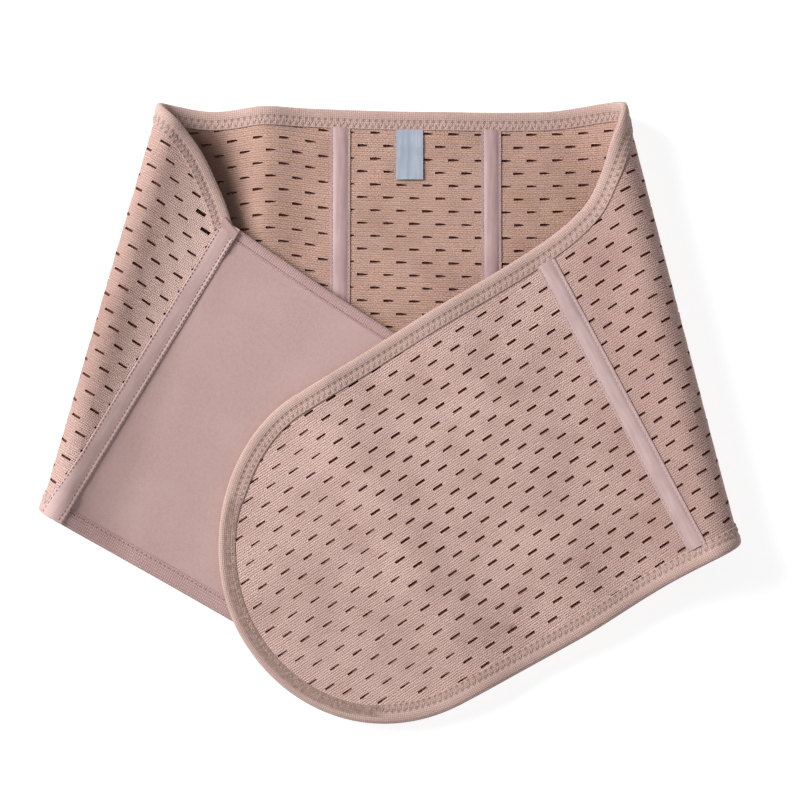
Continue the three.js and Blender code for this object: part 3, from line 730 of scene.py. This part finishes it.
def runningStitches(name, stations, places, height, pitch, thread, radius=0.19):
    # dashes of thread along a tape, each dipping into the cloth at its ends
    run, u, v = stations[:, 4], stations[:, 0], stations[:, 1]
    outU, outV = stations[:, 2], stations[:, 3]
    paths = []
    for out in places:
        for begin in np.arange(run[0] + 1, run[-1] - pitch, pitch):
            at = begin + np.array([0, 0.12, 0.4, 0.68, 0.8]) * pitch
            lift = np.array([-0.45, 0, 0.12, 0, -0.45]) * (1 if height > 0 else -1)
            reach = out * np.interp(at, run, stations[:, 6])
            uAt = np.interp(at, run, u) + reach * np.interp(at, run, outU)
            vAt = np.interp(at, run, v) + reach * np.interp(at, run, outV)
            lift = lift + math.copysign(1, height) * np.interp(at, run, stations[:, 5])
            paths.append(np.stack([uAt, vAt, height + lift, at, np.full(5, out)], -1))
    return threadTubes(name, paths, radius, thread)


# The folding tape round the elastic's edge, with its zigzag stitching
def beltOutline():
    start = belt["tipReach"] - belt["roundLength"]
    topLine = [(u, float(topOf(u))) for u in np.arange(-belt["seamReach"], start, 1.5)]
    bottomLine = [(u, float(bottomOf(u))) for u in np.arange(-belt["seamReach"], start, 1.5)]
    ends = []
    for edge, power in ((topOf, belt["roundTopPower"]), (bottomOf, belt["roundBottomPower"])):
        side = []
        for angle in np.linspace(math.pi / 2, 0, 90):
            across = math.cos(angle) ** (2 / power) if angle < math.pi / 2 else 0
            up = math.sin(angle) ** (2 / power) if angle > 0 else 0
            side.append((start + belt["roundLength"] * across,
                         belt["roundMiddle"] + (float(edge(start)) - belt["roundMiddle"]) * up))
        ends.append(side)
    return topLine + ends[0] + ends[1][::-1][1:] + bottomLine[::-1]


edgeTape = {
    "step": 2.2,
    # across the tape from its sewn inner edge to the folded rim: (in from the rim, height)
    "leg": [(12.4, 0.98), (12.35, 1.5), (11.8, 1.75), (10.9, 1.62), (9, 1.85), (7.2, 1.62),
            (6.2, 1.95), (5.4, 2.2), (4, 2.3), (2.5, 2.26), (1.2, 1.95), (0.35, 1.2), (0, 0)],
    # round the belt's tip it is sewn flat with one straight seam, and only its rim stands up
    "roundLeg": [(10.6, 0.98), (10.5, 1.35), (10, 1.5), (9.2, 1.52), (8.5, 1.3), (7.6, 1.56),
                 (6, 1.6), (4.6, 1.7), (3.6, 1.9), (2.5, 2.26), (1.2, 2.0), (0.35, 1.2), (0, 0)],
    "roundSeam": 8.5, "easing": 26,
    "plainTop": 490, "plainBottom": 468,  # how far along the belt the zigzag runs, above and below
}


def uProfile(leg, innerHalf, innerEnd):
    top = [(-a, h) for a, h in leg]
    under = [(-a, -h) for a, h in reversed(leg[:-1])]
    return top + under + [(-innerEnd, -innerHalf), (-innerEnd, innerHalf)]


def makeBinding():
    outline = beltOutline()
    stations = stationsFrom(outline, True, edgeTape["step"])
    run = stations[:, 4]
    onTop = stations[:, 1] > belt["roundMiddle"]
    begin = float(run[onTop & (stations[:, 0] > edgeTape["plainTop"])][0])
    end = float(run[~onTop & (stations[:, 0] > edgeTape["plainBottom"])][-1])
    share = smooth((run - begin) / edgeTape["easing"] + 0.5) * smooth((end - run) / edgeTape["easing"] + 0.5)
    straight = np.array(uProfile(edgeTape["leg"], 0.98, 1.6))
    rounded = np.array(uProfile(edgeTape["roundLeg"], 0.98, 1.6))
    profile = straight + (rounded - straight) * share[:, None, None]
    # band: the colour of the painted shade inside the tape's rim at the round end
    holes = {"rows": [(zigzag["inner"], 0.0), (zigzag["outer"], zigzag["pitch"] / 2)],
             "pitch": zigzag["pitch"], "radius": 1.05, "depth": 0.5, "colour": "6b4a41", "band": "745b51",
             "until": begin - 4, "again": end + 4}
    tape = tapeMaterial("knittedFoldingTape", "d2b4aa", "a3867e", holes)
    piece = profilePiece("foldedEdgeTape", stations, profile, [tape])
    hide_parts("edge_binding")

    fine = stationsFrom(outline, True, zigzag["pitch"] / 2)
    threads = []
    for side in (1, -1):
        path = []
        for i, s in enumerate(fine):
            if begin < s[4] < end:
                if path:
                    threads.append(path)
                path = []
                continue
            inFrom = zigzag["inner"] if i % 2 == 0 else zigzag["outer"]
            u, v = s[0] - inFrom * s[2], s[1] - inFrom * s[3]
            if path:  # the thread stands up between two needle holes
                last = path[-1]
                path.append(((last[0] + u) / 2, (last[1] + v) / 2, side * zigzag["standing"],
                             (last[3] + s[4]) / 2, 9))
            path.append((u, v, side * zigzag["height"], s[4], inFrom))
        threads.append(path)
    stitches = threadTubes("zigzagStitches", threads, zigzag["radius"], sewingThread)
    tip = stations[(run > begin - 10) & (run < end + 10)]
    seams = [runningStitches(f"tipSeam{k + 1}", tip, [-edgeTape["roundSeam"]], side * 1.5, 2.9,
                             sewingThread, 0.24)
             for k, side in enumerate((1, -1))]


makeBinding()


# The velour panel and its folded edge
velourPanel = {"columns": 78, "rows": 66, "inset": 2.2}
panelTapeLeg = [(8, 1.55), (7.9, 1.95), (7.4, 2.12), (6.6, 1.78), (5.8, 2.25), (4.2, 2.5),
                (2.6, 2.48), (1.2, 2.15), (0.35, 1.4), (0, 0)]
bottomWidening = 1.4  # the panel's bottom edge is turned over wider than its top edge


def panelEdges(run):
    # run from the seam; the hidden end is rounded
    u = -belt["seamReach"] - run
    into = np.clip((run - (belt["panelLength"] - belt["panelEndRadius"])) / belt["panelEndRadius"], 0, 1)
    rounded = belt["panelEndRadius"] * (1 - np.sqrt(1 - into ** 2))
    return u, panelBottomOf(u) + rounded, panelTopOf(u) - rounded


def makePanel():
    run = 1 + (belt["panelLength"] - 1 - velourPanel["inset"]) * np.sin(
        np.linspace(0, math.pi / 2, velourPanel["columns"]))
    u, low, high = panelEdges(run)
    low, high = low + velourPanel["inset"], high - velourPanel["inset"]
    share = np.linspace(0, 1, velourPanel["rows"])
    v = low[:, None] + (high - low)[:, None] * share
    uAll = np.repeat(u[:, None], velourPanel["rows"], 1)
    half = belt["panelCloth"] / 2
    above = laid(uAll, v, half - 0.02).reshape(-1, 3)
    below = laid(uAll, v, -half + 0.02).reshape(-1, 3)
    place = np.stack([uAll, v], -1).reshape(-1, 2)
    faces = closedGrid(velourPanel["columns"], velourPanel["rows"])
    piece = makePiece("velourPanel", np.concatenate([above, below]), faces,
                      np.concatenate([place, place]), [velour])
    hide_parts("loop_panel")

    line = 1 + (belt["panelLength"] - 1) * np.sin(np.linspace(0, math.pi / 2, 260))
    u, low, high = panelEdges(line)
    outline = list(zip(u, low)) + list(zip(u, high))[::-1][1:]
    stations = stationsFrom(outline, True, 2.5)
    middle = belt["height"] * 0.46
    stations[:, 6] += (bottomWidening - 1) * smooth((middle - stations[:, 1]) / 60)
    edge = profilePiece("velourFoldedEdge", stations, uProfile(panelTapeLeg, 1.52, 1.4), [velourTape])
    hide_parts("panel_binding")
    stitches = runningStitches("panelEdgeStitches", stations, [-6.6], -1.9, 3.2, mauveThread)


makePanel()


# Casings with their bones
backCasing = {
    "reaches": {"left": -36.5, "right": 58.5},
    "clearance": 1.2,
    # across the tape: (out, height above the cloth)
    "shape": [(-6.25, 0.12), (-6.1, 0.38), (-5.5, 0.42), (-5.0, 0.26), (-4.4, 0.45), (-3.6, 0.8),
              (-2.2, 1.12), (0, 1.25), (2.2, 1.12), (3.6, 0.8), (4.4, 0.45), (5.0, 0.26), (5.5, 0.42),
              (6.1, 0.38), (6.25, 0.12)],
    "stitches": [-5.05, 5.05], "satin": satin, "thread": sewingThread,
}
flapCasing = {
    "reach": 247, "clearance": 1.4,
    "shape": [(-6.25, 0.12), (-6.1, 0.34), (-5.6, 0.5), (-4.9, 0.55), (-4.2, 0.3), (-3.5, 0.62),
              (-2.4, 1.02), (-0.8, 1.2), (1.2, 1.15), (3.2, 0.95), (4.5, 0.62), (5.1, 0.32), (5.6, 0.5),
              (6.1, 0.4), (6.25, 0.12)],
    "stitches": [-4.2, 5.15], "satin": paleSatin, "thread": sewingThread,
}
seamCasing = {
    "reach": -240, "clearance": 1.88, "endLift": 0.95, "liftRun": 13.5, "liftEasing": 10,
    "shape": [(-6.25, 0.1), (-6.15, 0.28), (-5.8, 0.38), (-5.2, 0.42), (-4.6, 0.34), (-4.0, 0.22),
              (-3.4, 0.16), (-2.6, 0.26), (-1.4, 0.42), (0.4, 0.52), (2.4, 0.54), (4.2, 0.48), (5.3, 0.38),
              (6.1, 0.3), (6.25, 0.1)],
    "stitches": [-5.2, -3.4, 5.5], "satin": seamSatin, "thread": mauveThread,
}


def casingLine(u, inset):
    half = belt["casingWidth"] / 2
    ends = []
    for edge, side in ((bottomOf, 1), (topOf, -1)):
        near, here, far = (float(edge(u + d)) for d in (-half, 0, half))
        slope = max(abs(far - here), abs(here - near)) / half
        ends.append(side * max(side * near, side * far) + side * inset * math.hypot(1, slope))
    return ends


def makeCasing(name, node, numbers, reach, side):
    # the ends run in under the binding, or, at the seam, over it to the belt's edges
    overTape = "endLift" in numbers
    low, high = casingLine(reach, 0.5 if overTape else belt["bindingWidth"] - 1.0)
    stations = stationsFrom([(reach, v) for v in np.linspace(low, high, 120)], True, 2.2)
    if overTape:
        fromEnd = np.minimum(stations[:, 4], stations[-1, 4] - stations[:, 4])
        eased = smooth((numbers["liftRun"] + numbers["liftEasing"] - fromEnd) / numbers["liftEasing"])
        stations[:, 5] = numbers["endLift"] * eased
    # stationsFrom runs up the belt, so its way out is -u and the shape is mirrored
    over = [(-out, side * (numbers["clearance"] + h)) for out, h in numbers["shape"]]
    under = [(out, side * (numbers["clearance"] - 0.25)) for out in (-6.25, -3, 0, 3, 6.25)]
    piece = profilePiece(name, stations, over + under, [numbers["satin"]], angle=40)
    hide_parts(node)
    across = dict(numbers["shape"])
    for k, place in enumerate(numbers["stitches"]):
        height = numbers["clearance"] + np.interp(place, list(across), list(across.values())) + 0.08
        runningStitches(f"{name}Stitches{k + 1}", stations, [-place], side * height, 2.8,
                                    numbers["thread"])


for name, reach in backCasing["reaches"].items():
    makeCasing(f"boneCasing{name.title()}", f"casing_back_{name}", backCasing, reach, 1)
makeCasing("boneCasingFlap", "casing_flap", flapCasing, flapCasing["reach"], -1)
makeCasing("seamCasing", "casing_seam", seamCasing, seamCasing["reach"], -1)


# Label, tab and hook patch
def makeSlab(name, u, v, height, thickness, materials, node):
    # a thin piece over a grid of the flat cut, at a height off the cloth at each place
    side = np.sign(np.mean(height))
    above = laid(u, v, height + side * thickness).reshape(-1, 3)
    below = laid(u, v, height).reshape(-1, 3)
    place = np.stack([v, u], -1).reshape(-1, 2)
    piece = makePiece(name, np.concatenate([above, below]), closedGrid(*u.shape),
                      np.concatenate([place, place]), materials)
    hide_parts(node)


labelSize = {"width": 17, "length": 31, "thickness": 0.35, "rise": 0.5}
u, v = np.meshgrid(belt["labelReach"] + labelSize["width"] * np.linspace(-0.5, 0.5, 14),
                   np.linspace(labelTop - labelSize["length"], labelTop + 0.6, 30), indexing="ij")
curl = labelSize["rise"] * smooth((labelTop - v) / 9) * (1 + 0.35 * np.sin((labelTop - v) / 5.2 + u / 9))
makeSlab("satinLabel", u, v, 1.3 + curl, labelSize["thickness"], [ribbon], "care_label")

foldedEnd = {"width": 12.6, "length": 6.6, "slope": 0.3, "height": 3.75, "thickness": 0.7, "turn": 1.3}


def makeTab():
    # the folded end of tape over the seam casing's top, which leans with the belt's edge
    reach = -belt["seamReach"]
    across = np.linspace(-0.5, 0.5, 12) * foldedEnd["width"]
    down = np.concatenate([foldedEnd["turn"] * (1 - np.cos(np.linspace(0, math.pi / 2, 7))),
                           np.linspace(foldedEnd["turn"], foldedEnd["length"], 9)[1:]])
    along, below = np.meshgrid(across, down, indexing="ij")
    v = float(topOf(reach)) - 0.2 + foldedEnd["slope"] * along - below
    into = np.clip(1 - below / foldedEnd["turn"], 0, 1)
    fall = foldedEnd["height"] * (1 - np.sqrt(np.clip(1 - into ** 2, 0, 1))) * 0.8
    makeSlab("foldedTab", reach + along, v, -foldedEnd["height"] + fall, foldedEnd["thickness"],
             [velour], "seam_tab")


makeTab()


def makeHookPatch():
    margin = belt["bindingWidth"] + 0.6
    edgeAt = belt["tipReach"] - patch["reach"]
    low, high = float(bottomOf(edgeAt)) + margin, float(topOf(edgeAt)) - margin
    rows, columns = 26, 24
    straight = [(patchEdge(v), v) for v in np.linspace(low, high, columns)]
    start = belt["tipReach"] - belt["roundLength"]
    lines = []
    for k in range(rows):
        angle = math.pi / 2 * (k / (rows - 1)) * 0.985
        ends = []
        for edge, power, way in ((bottomOf, belt["roundBottomPower"], 1), (topOf, belt["roundTopPower"], -1)):
            reach = float(edge(start)) + way * margin - belt["roundMiddle"]
            ends.append((start + (belt["roundLength"] - margin) * math.sin(angle) ** (2 / power),
                         belt["roundMiddle"] + reach * math.cos(angle) ** (2 / power)))
        (uLow, vLow), (uHigh, vHigh) = ends
        share = np.linspace(0, 1, columns)
        lines.append(np.stack([uLow + (uHigh - uLow) * share, vLow + (vHigh - vLow) * share], -1))
    lines.insert(0, np.array(straight))
    grid = np.array(lines)
    makeSlab("hookPatch", grid[..., 0], grid[..., 1], 1.4 + 0 * grid[..., 0], 1.3, [hookTape], "hook_patch")


makeHookPatch()


# Floor, light and camera
bpy.ops.object.select_all(action="DESELECT")
bpy.ops.mesh.primitive_plane_add(size=40, location=(0, 0, -0.0005))
floor = bpy.context.object
floor.name = "floor"
paper, tree, shader = startMaterial("whitePaperGround", 0.9)
place = addNode(tree, "ShaderNodeTexCoord")
fibres = mottle(tree, place.outputs["Object"], 0.004, 3.0)
tree.links.new(mixColour(tree, fibres, "a4a4a4", "a8a8a8"), shader.inputs["Base Color"])
shader.inputs["Emission Color"].default_value = (1, 1, 1, 1)
shader.inputs["Emission Strength"].default_value = 0.8  # the ground is lit from below, as a light table
floor.data.materials.append(paper)

camera = {"distance": 1.15, "elevation": 85, "width": 0.496, "aim": (0.0067, 0.0055, 0.008)}
elevation = camera["elevation"] * degree
back = Vector((0, -math.cos(elevation), math.sin(elevation)))
bpy.ops.object.camera_add(location=Vector(camera["aim"]) + back * camera["distance"])
cam = bpy.context.object
cam.rotation_euler = (-back).to_track_quat("-Z", "Y").to_euler()
cam.data.sensor_width = 36
cam.data.lens = 36 * camera["distance"] / camera["width"]
bpy.context.scene.camera = cam

lights = {
    "window": {"place": (-1.4, 0.7, 1.1), "size": 0.8, "power": 53, "colour": "ffffff"},
    "fill": {"place": (0.5, -0.9, 1.6), "size": 1.8, "power": 4.5, "colour": "f4f6ff"},
}
for name, light in lights.items():
    bpy.ops.object.light_add(type="AREA", location=light["place"])
    lamp = bpy.context.object
    lamp.name = name
    lamp.rotation_euler = Vector(light["place"]).to_track_quat("Z", "Y").to_euler()
    lamp.data.size = light["size"]
    lamp.data.energy = light["power"]
    lamp.data.color = linear(light["colour"])[:3]

world = bpy.data.worlds.new("softRoom")
bpy.context.scene.world = world
world.use_nodes = True
world.node_tree.nodes["Background"].inputs[0].default_value = (1, 1, 1, 1)
world.node_tree.nodes["Background"].inputs[1].default_value = 0.26
bpy.context.scene.view_settings.view_transform = "Standard"
print("stage set")
